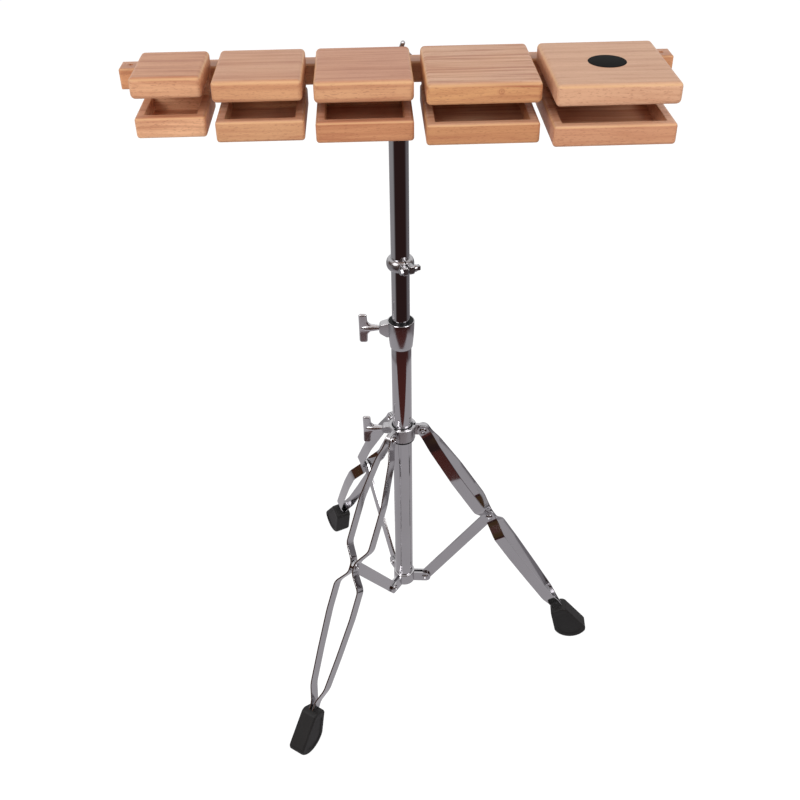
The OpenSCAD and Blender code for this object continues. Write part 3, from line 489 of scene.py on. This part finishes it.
class WOODSET_OT_blocks(bpy.types.Operator):
    """Make the lids and trays of the five blocks, and finish their necks."""
    bl_idname = "woodset.blocks"
    bl_label = "Blocks"

    def execute(self, context):
        s = context.scene.woodset_blocks
        dark = tuple(s.dark) + (1,)
        for n, (top, side, tray_side, streaks) in enumerate(WOODS, 1):
            top, side, tray_side = (c + (1,) for c in (top, side, tray_side))
            low, high = corners(f"block_{n}_lid")
            knot = (low.x + KNOT_IN * MM, low.y, high.z - KNOT_DOWN * MM) if n == KNOT_BLOCK else None
            grain = beech(f"lid_{n}_beech", n * 1.7, top, side, dark, streaks, knot)
            lid = board(low, high)
            round_edges(lid, lid.edges[:], s.lid_round, 5)
            piece(f"block_{n}_lid_wood", lid, grain, "row", "lid_wood", f"block_{n}_lid")
            grain = beech(f"tray_{n}_beech", n * 2.9 + 5, top, tray_side, dark, 0.9)
            piece(f"block_{n}_tray_wood", self.tray(s, *corners(f"block_{n}_tray")), grain, "row",
                  "tray_wood", f"block_{n}_tray")
            dress(grain, f"block_{n}_neck")
        return {"FINISHED"}

    def tray(self, s, low, high):
        """An open tray: a board whose top is inset and pushed down."""
        bm = board(low, high)
        top = max(bm.faces, key=lambda face: face.calc_center_median().z)
        bmesh.ops.inset_region(bm, faces=[top], thickness=s.side_wall, use_even_offset=True)
        rear = max(v.co.y for v in top.verts)
        for v in top.verts:
            if v.co.y > rear - MM:
                v.co.y = high.y - s.rear_wall
        rim = list(top.edges)
        made = bmesh.ops.extrude_discrete_faces(bm, faces=[top])["faces"]
        bmesh.ops.translate(bm, vec=(0, 0, low.z + s.floor - high.z), verts=made[0].verts[:])
        walls = ((0, low.x), (0, high.x), (1, low.y), (1, high.y))
        outer = [e for e in bm.edges if len(e.link_faces) == 2 and e not in rim and all(
            any(abs(v.co[axis] - wall) < MM / 10 for axis, wall in walls) for v in e.verts)]
        round_edges(bm, outer, s.tray_round, 4)
        rim = [e for e in sharp(bm) if all(abs(v.co.z - high.z) < MM / 100 for v in e.verts)]
        round_edges(bm, rim, s.rim_round, 2)
        return bm


class WOODSET_OT_rail(bpy.types.Operator):
    """Finish the rail, its insert, the wood screws and the badge."""
    bl_idname = "woodset.rail"
    bl_label = "Rail"

    def execute(self, context):
        s = context.scene.woodset_blocks
        top, side, dark = (tuple(c) + (1,) for c in (s.top, s.side, s.dark))
        dress(beech("rail_beech", 31.0, shade(top, 1.03), shade(side, 1.03), dark, streaks=0.6), "rail")
        dress(turned("zinc_screw", (0.55, 0.55, 0.56), 0.3), "rail_screws", "tray_screws")
        dress(turned("brass_insert", (0.60, 0.42, 0.16), 0.25), "rail_insert")
        black = moulded("badge_black", (0.004, 0.004, 0.004), 0.35, 300.0, 0.03, shine=0.01)
        low, high = corners("badge")
        wide, half = (high.x - low.x) / 2 / MM, (high.z - low.z) / 2 / MM
        under, over = 0.4, 0.5
        disc = turned_part([(0, -half), (wide - under, -half), (wide, 0), (wide - over, half), (0, half)],
                           64)
        piece("badge_disc", gather((disc, Matrix.Translation((low + high) / 2))), black, "row",
              "badge_black", "badge")
        return {"FINISHED"}


class WOODSET_OT_stand(bpy.types.Operator):
    """Make the clamps, screws, strips and feet, and finish the tubes."""
    bl_idname = "woodset.stand"
    bl_label = "Stand"

    def execute(self, context):
        s = context.scene.woodset_stand
        low, high = corners("main_tube")
        self.axis = Matrix.Translation(((low.x + high.x) / 2, (low.y + high.y) / 2, 0))
        self.tube_r = round((high.x - low.x) / 2 / MM, 1)
        self.finishes(s)
        self.height_clamp(s)
        self.memory_lock()
        self.row_bolt(s)
        self.collar(s)
        self.hub()
        for i in LEGS:
            self.leg_pieces(s, i)
        return {"FINISHED"}

    def finishes(self, s):
        """The stand's plate, nylon and rubber, and the CAD nodes that only take a finish."""
        metal = tuple(s.plate)
        self.tube = chrome("tube_chrome", metal, 0.04)
        self.cast = chrome("cast_chrome", metal, 0.12)
        self.strip = chrome("strip_chrome", metal, 0.10)
        self.collar_plate = chrome("collar_chrome", metal, 0.32)
        # Painted light: a lighter copy of the plate, so that the wings' reflections read light grey.
        self.satin = chrome("satin_chrome", shade(metal, 1.30), 0.28)
        # Painted shade: a darker copy of the plate, so that the memory ring's reflection of the white
        # surroundings reads grey.
        self.ring = chrome("ring_chrome", shade(metal, 0.85), 0.30)
        self.black = moulded("nylon_black", (0.008, 0.008, 0.009), 0.45, shine=0.15)
        self.rubber = moulded("foot_rubber", tuple(s.rubber), 0.50, 500.0, 0.35, shine=0.30)
        dress(self.tube, "upper_tube", "main_tube", "bracket_post", "rail_bracket", "bolt_washer",
              "post_ring")
        dress(self.cast, "top_socket", "socket_thumb_screw")
        dress(self.ring, "memory_key_screw")
        dress(self.black, "clamp_bush", "hub_plug")
        dress(self.strip, *(f"brace_{i}" for i in LEGS))

    def cast_piece(self, name, bm, body, node, finish=None):
        """A chrome piece, of cast metal unless it has its own finish."""
        piece(name, bm, finish or self.cast, body, "chrome", node, smooth=38)

    def from_axis(self, joint):
        """A joint's place, with the tube's axis at the middle."""
        return self.axis.inverted() @ Vector(JOINTS[joint]["pos_m"])

    def leg(self, i):
        """Leg i's own frame: X runs out from the tube's axis, Y across the leg."""
        at = self.from_axis(f"leg_{i}_fold")
        return self.axis @ Matrix.Rotation(math.atan2(at.y, at.x), 4, "Z")

    def pivot(self, joint):
        """How far a pivot of leg 1 lies from the tube's axis, in millimetres, and its height in metres."""
        at = self.leg(1).inverted() @ Vector(JOINTS[joint]["pos_m"])
        return at.x / MM, at.z

    def leg_pieces(self, s, i):
        """Leg i's two strips, its middle rivet and its foot."""
        leg = self.leg(i)
        low, high = corners(f"leg_{i}_rivet")
        pivot = leg.inverted() @ Vector(JOINTS[f"leg_{i}_fold"]["pos_m"])
        way = leg.inverted() @ ((low + high) / 2) - pivot
        down = leg @ Matrix.Translation(pivot) @ Matrix.Rotation(math.atan2(-way.z, way.x), 4, "Y")
        for name, side in (("a", 1), ("b", -1)):
            piece(f"leg_{i}_plate_{name}", gather((self.bowed(s, side), down)), self.strip, f"leg_{i}",
                  "chrome", f"leg_{i}_strip_{name}")
        bore, grip = 1.9, 3.9
        heads = self.heads(bore, grip, down @ Matrix.Translation((way.length, 0, 0)))
        piece(f"leg_{i}_heads", heads, self.cast, f"leg_{i}", "chrome", f"leg_{i}_rivet")
        across = Vector((-way.z, way.x)).normalized()
        piece(f"leg_{i}_shoe", gather((self.foot(across), leg)), self.rubber, f"leg_{i}", "rubber",
              f"leg_{i}_foot", smooth=50)

    def bowed(self, s, side):
        """A flat bar that bows out from the leg's plane above and below the brace."""
        start, end = SWAY[0][0] * MM, SWAY[-1][0] * MM
        bm = board((start, -s.strip_thick / 2, -s.strip_width / 2),
                   (end, s.strip_thick / 2, s.strip_width / 2))
        tips = [e for e in bm.edges if all(v.co.x < 0 for v in e.verts)
                and abs(e.verts[0].co.y - e.verts[1].co.y) > MM]
        round_edges(bm, tips, s.strip_width / 2 - MM / 20, 7)
        for k in range(1, SLICES):
            cut(bm, end * k / SLICES)
        round_edges(bm, sharp(bm), s.strip_thick * 0.28, 2)
        for v in bm.verts:
            far, slant = bent(SWAY, v.co.x / MM)
            off = v.co.y * side
            lean = math.hypot(1, slant)
            v.co.x -= slant / lean * off
            v.co.y = side * (far * MM + off / lean)
        return bm

    def heads(self, inner, grip, *places):
        """Hollow rivets along Y, each with a domed head at both ends."""
        return gather(*((self.head(inner, grip), place @ Matrix.Rotation(math.radians(90 * k), 4, "X"))
                        for place in places for k in (1, -1)))

    def head(self, inner, grip):
        """Half a hollow rivet along Z, with a domed head."""
        shaft, wide, hollow, crown = 2.5, 5.0, 1.3, 1.8
        return turned_part([(0, inner), (shaft, inner), (shaft, grip), (wide, grip), (wide - 0.3, grip + 1),
                            (wide - 1.7, grip + crown), (hollow + 0.7, grip + crown - 0.2),
                            (hollow, grip + 0.6), (0, grip + 0.5)], 24)

    def foot(self, across):
        """A rubber shoe: a rounded block with a sunk pad on each side, its mouth square to the leg."""
        mouth, mouth_half, toe = Vector((231, 58)), 11.5, (277, 21)
        middle, sole_r, wide, rim = Vector((253, 26)), 26, 24, 5.6
        turns = [math.radians(-25 - 12.5 * k) for k in range(11)]
        sole = [middle + sole_r * Vector((math.cos(a), math.sin(a))) for a in turns]
        outline = [mouth - mouth_half * across, mouth + mouth_half * across, toe, *sole]
        bm = plate(outline, (6, 8, 14, 3, *[0] * (len(sole) - 2), 6), wide, rim, 5)
        for face in sorted(bm.faces, key=lambda face: -face.calc_area())[:2]:
            way = math.copysign(1.0, face.normal.y)
            for size, deep in ((0.82, 0), (0.95, 1)):
                face = self.step(bm, face, size, way * deep * MM)
        return bm

    def step(self, bm, face, size, deep):
        """Sets a smaller copy of a face in it, moved in along Y."""
        made = bmesh.ops.extrude_discrete_faces(bm, faces=[face])["faces"][0]
        middle = made.calc_center_median()
        bmesh.ops.scale(bm, vec=(size, 1, size), verts=made.verts[:], space=Matrix.Translation(-middle))
        bmesh.ops.translate(bm, vec=(0, -deep, 0), verts=made.verts[:])
        return made

    def wings(self, s, deep, lift, reach, shank, bend=0.0):
        """A screw along Z, in millimetres: its thread, its shank and a pair of wings along X.

        The wings start at the lift, the thread reaches down to minus the reach, and the wing at +X is bent.
        """
        half, tip, waist = s.wing_span / 2 / MM, deep * 0.32, deep * 0.28
        fins = plate([(-half, tip), (-WING_NECK, waist), (-WING_ROOT, 0), (WING_ROOT, 0), (WING_NECK, waist),
                      (half, tip), (half, deep), (-half, deep)], (2.5, 6, 2.5, 2.5, 6, 2.5, 3, 3),
                     WING_THICK, WING_RIM)
        crease = (WING_ROOT - 1) * MM
        for along in (crease, crease + 3 * MM):
            cut(fins, along)
        for v in fins.verts:
            v.co.y += max(0.0, v.co.x - crease) * math.tan(bend)
        thread, hub, ease = 3.0, 4.8, 0.4
        rod = turned_part([(0, -reach), (thread - ease, -reach), (thread, 0.6 - reach),
                           (thread, lift - shank), (thread + 0.3, lift - shank), (hub, lift),
                           (hub - ease, lift + deep * 0.5), (thread - ease, lift + deep * 0.8),
                           (0, lift + deep * 0.82)], 24)
        return gather((fins, Matrix.Translation((0, 0, lift * MM))), (rod, Matrix()))

    def lug(self, root, rise):
        """A lug that takes a wing screw along Z: taller where it leaves its clamp, and narrower below."""
        half, back, wide, rim, share, taper = 6, 12.4, 13, 3.5, 0.8, 20
        bm = plate([(-half - rise, -back), (half + root, -back), (half, 0), (-half, 0)], (1, 3, 5, 5),
                   wide, rim, 4)
        for v in bm.verts:
            v.co.y *= share - taper * v.co.x
        return bm

    def screw_frame(self, joint):
        """The frame of a clamp's screw: Z runs out along it, X points down."""
        out = self.from_axis(joint)
        return facing(self.axis @ out, (out.x, out.y, 0), (0, 0, -1))

    def wing_screw(self, s, name, joint, body, node, reach, bend):
        """A clamp's wing screw, with its wings turned from upright."""
        place = self.screw_frame(joint) @ Matrix.Rotation(-s.wing_turn, 4, "Z")
        wings = self.wings(s, WING_DEEP, WING_LIFT, reach, WING_SHANK, bend)
        self.cast_piece(name, gather((wings, place)), body, node, self.satin)

    def height_clamp(self, s):
        """The flared clamp on the main tube, with its lug and wing screw."""
        low, high = corners("height_clamp")
        tall = round((high.z - low.z) / MM)
        foot, flare, easing = 14.1, 0.1139, 0.001185
        bell = [(foot + flare * z - easing * z * z, z) for z in range(1, tall, 4)]
        seat, seat_z, rim, ease = 15.3, 33, 16.6, 0.4
        sleeve = turned_part([(self.tube_r, ease / 2), (foot - 0.7, 0), *bell, (rim, tall - ease),
                              (rim - ease, tall), (seat + ease, tall), (seat, tall - ease),
                              (seat, seat_z), (self.tube_r, seat_z)])
        lug_root, lug_rise, reach = 9, 4, 15.4
        self.cast_piece("height_clamp_body", gather(
            (sleeve, self.axis @ Matrix.Translation((0, 0, low.z))),
            (self.lug(lug_root, lug_rise), self.screw_frame("clamp_screw_turn"))), "stand", "height_clamp")
        self.wing_screw(s, "clamp_wings", "clamp_screw_turn", "clamp_screw", "clamp_wing_screw", reach,
                        s.clamp_bend)

    def memory_lock(self):
        """The split ring on the upper tube, with its pair of ears."""
        low, high = corners("memory_lock")
        out = self.from_axis("memory_screw_turn")
        turn = math.degrees(math.atan2(out.y, out.x))
        centre = self.axis @ Matrix.Translation((0, 0, (low.z + high.z) / 2))
        bore, middle, bulge, half, split = 11.2, 12.3, 4.4, 7.5, 6.6
        arc = [(middle + bulge * math.cos(a), half * math.sin(a)) for a in (
            math.radians(15 * k) for k in range(-6, 7))]
        ring = turned_part([(bore, 0.1 - half), *arc, (bore, half - 0.1)], 56, 360.0 - split,
                           turn + split / 2)
        root, tip, gap, past, ear_half, rim = 13.5, 24.5, 0.7, 7.4, 5.2, 1.4
        ears = []
        for side in (1, -1):
            near, far = sorted((side * gap * MM, side * past * MM))
            ear = board((root * MM, near, -ear_half * MM), (tip * MM, far, ear_half * MM))
            round_edges(ear, ear.edges[:], rim * MM, 3)
            ears.append((ear, centre @ Matrix.Rotation(math.radians(turn), 4, "Z")))
        self.cast_piece("memory_ring_body", gather((ring, centre), *ears), "memory_ring", "memory_lock",
                        self.ring)

    def row_bolt(self, s):
        """The wing bolt behind the rail."""
        high = corners("bolt_washer")[1]
        deep, lift, reach, shank = 9.6, 5, 19.6, 4
        seat_r, seat_h, turn = 6, 6, 21
        seat = turned_part([(0, 0), (seat_r - 0.4, 0), (seat_r, 0.5), (seat_r - 0.6, seat_h - 0.6),
                            (seat_r - 1.4, seat_h), (0, seat_h)], 32)
        bolt = gather((self.wings(s, deep, lift, reach, shank), Matrix()), (seat, Matrix()))
        x, _, z = JOINTS["rail_bolt_turn"]["pos_m"]
        along = Matrix.Rotation(math.radians(turn), 3, "Y") @ Vector((0, 0, 1))
        self.cast_piece("rail_bolt_wings", gather((bolt, facing((x, high.y, z), (0, 1, 0), along))),
                        "rail_bolt", "rail_wing_bolt")

    def ear(self, start, pivot, thick, rim):
        """A flat ear with a round end, in millimetres, from its root out to a pivot."""
        end, root = pivot + EAR_R, 0.1
        return plate([(start, -EAR_R), (end, -EAR_R), (end, EAR_R), (start, EAR_R)],
                     (root, EAR_R - root, EAR_R - root, root), thick, rim)

    def collar(self, s):
        """The sliding collar with its ears, bush, pins and wing screw."""
        low, high = corners("leg_collar")
        base = self.axis @ Matrix.Translation((0, 0, low.z))
        tall = round((high.z - low.z) / MM)
        out, pivot_z = self.pivot("leg_1_fold")
        out = round(out, 1)
        seat, flange, body, rim, rim_z = 13.8, 3, 17.2, 18.2, 20
        ease, rim_ease, lip = 0.4, 0.8, 0.6
        band = turned_part([(seat, flange), (body - ease, flange), (body, flange + ease),
                            (body, rim_z - rim_ease), (rim, rim_z), (rim, tall - rim_ease),
                            (rim - rim_ease, tall), (seat + lip, tall), (seat, tall - lip)])
        ear_start, ear_thick, ear_rim = 14.5, 5, 0.8
        ears = [(self.ear(ear_start, out, ear_thick, ear_rim),
                 self.leg(i) @ Matrix.Translation((0, 0, pivot_z))) for i in LEGS]
        self.cast_piece("leg_collar_body", gather(
            (band, base), (self.lug(0, 0), self.screw_frame("collar_screw_turn")), *ears), "collar",
            "leg_collar", self.collar_plate)
        reach = 13.8
        self.wing_screw(s, "collar_wings", "collar_screw_turn", "collar_screw", "collar_wing_screw", reach,
                        s.collar_bend)
        bore, flange_r = self.tube_r + 0.1, 16.3
        bush = turned_part([(bore, ease), (bore + ease, 0), (flange_r - 0.5, 0), (flange_r, 0.5),
                            (flange_r, flange), (seat, flange), (seat, tall - lip), (bore, tall - lip)])
        piece("collar_bush_ring", gather((bush, base)), self.black, "collar", "nylon", "collar_bush")
        self.cast_piece("leg_pin_heads", self.pins(ear_thick + 0.1, out, pivot_z), "collar", "leg_pins")

    def pins(self, half, out, height):
        """Three pins across the legs, with a domed head at each end."""
        return self.heads(0, half, *(self.leg(i) @ Matrix.Translation((out * MM, 0, height)) for i in LEGS))

    def hub(self):
        """The hub under the main tube, with a pair of ears for each brace."""
        low = corners("base_hub")[0]
        out, pivot_z = self.pivot("brace_1_fold")
        hole, drum_r, tall, floor = 9.5, 15.2, 19, 3
        drum = turned_part([(hole, 0), (drum_r - 1.4, 0), (drum_r - 0.4, 0.8), (drum_r, 2.0),
                            (drum_r, tall - 1.4), (drum_r - 0.3, tall - 0.5), (drum_r - 1, tall),
                            (self.tube_r, tall), (self.tube_r, floor), (hole, floor)])
        ear_start, ear_thick, ear_rim, apart, pin_half = 13.7, 2.6, 0.6, 3.2, 4.5
        ears = [(self.ear(ear_start, out, ear_thick, ear_rim),
                 self.leg(i) @ Matrix.Translation((0, side * apart * MM, pivot_z)))
                for i in LEGS for side in (1, -1)]
        self.cast_piece("base_hub_body", gather((drum, self.axis @ Matrix.Translation((0, 0, low.z))), *ears),
                        "stand", "base_hub")
        self.cast_piece("brace_pin_heads", self.pins(pin_half, out, pivot_z), "stand", "brace_pins")


class WOODSET_OT_stage(bpy.types.Operator):
    """Make the floor, the lights, the dark cards that chrome reflects, and the camera."""
    bl_idname = "woodset.stage"
    bl_label = "Stage"

    def execute(self, context):
        s = context.scene.woodset_stage
        scene = context.scene
        scene.view_settings.view_transform = "Standard"
        self.floor()
        self.world(scene, s)
        self.lamp("left_lamp", s.left, s.lamp_size, (-1.6, -1.5, 2.0))
        self.lamp("right_lamp", s.right, s.lamp_size, (1.6, -1.4, 1.9))
        self.reflected_floor()
        self.reflected_room()
        self.camera(scene, s)
        return {"FINISHED"}

    def plane(self, name, size, at, turn, material):
        """A sheet of the stage, in metres and degrees."""
        bm = bmesh.new()
        bmesh.ops.create_grid(bm, x_segments=1, y_segments=1, size=0.5)
        bmesh.ops.scale(bm, vec=(size[0], size[1], 1), verts=bm.verts)
        mesh = bpy.data.meshes.new(name)
        bm.to_mesh(mesh)
        bm.free()
        mesh.materials.append(material)
        obj = bpy.data.objects.new(name, mesh)
        obj.location = at
        obj.rotation_euler = [math.radians(a) for a in turn]
        bpy.context.scene.collection.objects.link(obj)
        return obj

    def floor(self):
        """A pale floor that shows white, with the object's shadow on it."""
        f = Finish("floor_white")
        grain = f.noise(f.place(), 60.0, 2.0)
        f.set(base_color=f.mix(grain * 0.2, (0.80, 0.80, 0.80, 1), (0.76, 0.76, 0.76, 1)), roughness=0.9)
        f.shader.inputs["Specular IOR Level"].default_value = 0.0
        light = f.add("ShaderNodeEmission", {"Color": (1, 1, 1, 1), "Strength": 1.2})
        both = f.add("ShaderNodeMixShader", {0: f.seen() * 0.8, 1: Field(f, f.shader.outputs[0]), 2: light})
        f.join(both, f.output.inputs["Surface"])
        self.plane("floor", (40, 40), (0, 0, 0), (0, 0, 0), f.material)

    def world(self, scene, s):
        """Soft light from all round, before a white background."""
        scene.world = bpy.data.worlds.new("studio")
        scene.world.use_nodes = True
        nodes = Nodes(scene.world.node_tree)
        room, white = (nodes.add("ShaderNodeBackground", {"Color": (1, 1, 1, 1), "Strength": strength})
                       for strength in (s.sky, 1.0))
        both = nodes.add("ShaderNodeMixShader", {0: nodes.seen(), 1: room, 2: white})
        nodes.add("ShaderNodeOutputWorld", {"Surface": both})

    def lamp(self, name, power, size, at):
        """A square lamp that faces the set."""
        data = bpy.data.lights.new(name, "AREA")
        data.size = size
        data.energy = power
        obj = bpy.data.objects.new(name, data)
        obj.location = at
        middle = Vector((0.0, -0.05, 0.8))
        obj.rotation_euler = (middle - Vector(at)).to_track_quat("-Z", "Y").to_euler()
        bpy.context.scene.collection.objects.link(obj)

    def reflected_floor(self):
        """Grey paper round the stand, and dark ground between pale walls past it, for reflections alone."""
        paper, left_wall, right_wall = (0.53, 0.51, 0.53, 1), (0.40, 0.39, 0.40, 1), (0.30, 0.29, 0.31, 1)
        near_ground, far_ground = (0.105, 0.030, 0.025, 1), (0.038, 0.019, 0.018, 1)
        front_edge, side_edge, curve = 0.53, 0.74, 0.21
        f = Finish("reflected_floor")
        at = f.place()
        x, y = (f.add("ShaderNodeSeparateXYZ", {0: at}, output=axis) for axis in (0, 1))
        far = f.add("ShaderNodeVectorMath", {0: at}, output=1, operation="LENGTH")
        side = x.maths("ARCTAN2", x, y * -1.0)
        edge = side.maths("MINIMUM", side * side * curve + front_edge, side_edge)
        on_paper = 1.0 - (far - edge).between(-0.005, 0.015)
        left = (side * -1.0).between(0.92, 1.40) * far.between(0.70, 0.78)
        right = side.between(1.15, 1.75) * 0.7
        ground = f.mix(far.between(0.66, 0.95), near_ground, far_ground)
        bare = f.mix(left, f.mix(right, ground, right_wall), left_wall)
        f.set(emission_color=f.mix(on_paper, bare, paper))
        self.seen_in_chrome(f, "reflected_floor", (14, 14), (0, 0, 4 * MM), (0, 0, 0))

    def reflected_room(self):
        """The dark room in front of the stand and beside it, for reflections alone."""
        f = Finish("reflected_room")
        patches = f.noise(f.place(), 2.2, 1.0)
        red, brown = (0.092, 0.026, 0.020, 1), (0.078, 0.046, 0.020, 1)
        f.set(emission_color=f.mix(patches.between(0.44, 0.54), red, brown))
        tall, front, side = 3.2, 2.7, 4.5
        for name, width, x, y, turn in (("front", 9.0, 0, -front, 0), ("left", 5.0, -side, -0.2, 90),
                                        ("right", 5.0, side, -0.2, 90)):
            self.seen_in_chrome(f, f"reflected_{name}", (width, tall), (x, y, tall / 2), (90, 0, turn))

    def seen_in_chrome(self, f, name, size, at, turn):
        """A sheet that glows and that only reflections see."""
        f.set(base_color=(0, 0, 0, 1), roughness=1.0)
        f.shader.inputs["Emission Strength"].default_value = 1.0
        f.shader.inputs["Specular IOR Level"].default_value = 0.0
        obj = self.plane(name, size, at, turn, f.material)
        obj.visible_camera = False
        obj.visible_diffuse = False
        obj.visible_shadow = False
        obj.visible_transmission = False

    def camera(self, scene, s):
        """The photograph's camera."""
        data = bpy.data.cameras.new("camera")
        data.lens = s.lens
        data.sensor_width = 36.0
        data.clip_start, data.clip_end = 0.05, 60.0
        obj = bpy.data.objects.new("camera", data)
        yaw, pitch, roll = (math.radians(a) for a in CAMERA_TURNS)
        ahead = Vector((-math.sin(yaw) * math.cos(pitch), math.cos(yaw) * math.cos(pitch), -math.sin(pitch)))
        right = Vector((math.cos(yaw), math.sin(yaw), 0))
        up = right.cross(ahead)
        side = math.cos(roll) * right + math.sin(roll) * up
        top = -math.sin(roll) * right + math.cos(roll) * up
        obj.matrix_world = Matrix.Translation(CAMERA_AT) @ Matrix((side, top, -ahead)).transposed().to_4x4()
        scene.collection.objects.link(obj)
        scene.camera = obj


class WOODSET_PT_panel(bpy.types.Panel):
    """Lists the steps that dress the set."""
    bl_idname = "WOODSET_PT_panel"
    bl_label = "Wood Blocks"
    bl_space_type = "VIEW_3D"
    bl_region_type = "UI"
    bl_category = "Wood Blocks"

    def draw(self, context):
        for step in STEPS:
            self.layout.operator(step.bl_idname)
        for group in ("woodset_blocks", "woodset_stand", "woodset_stage"):
            settings = getattr(context.scene, group)
            for name in settings.bl_rna.properties.keys():
                if name not in ("rna_type", "name"):
                    self.layout.prop(settings, name)


STEPS = (WOODSET_OT_stage, WOODSET_OT_blocks, WOODSET_OT_rail, WOODSET_OT_stand)
CLASSES = (BlockSettings, StandSettings, StageSettings, *STEPS, WOODSET_PT_panel)


def register():
    for cls in CLASSES:
        bpy.utils.register_class(cls)
    bpy.types.Scene.woodset_blocks = bpy.props.PointerProperty(type=BlockSettings)
    bpy.types.Scene.woodset_stand = bpy.props.PointerProperty(type=StandSettings)
    bpy.types.Scene.woodset_stage = bpy.props.PointerProperty(type=StageSettings)


def unregister():
    for name in ("woodset_blocks", "woodset_stand", "woodset_stage"):
        delattr(bpy.types.Scene, name)
    for cls in reversed(CLASSES):
        bpy.utils.unregister_class(cls)


def main():
    register()
    for step in STEPS:
        group, name = step.bl_idname.split(".")
        getattr(getattr(bpy.ops, group), name)()


if __name__ == "__main__":
    main()
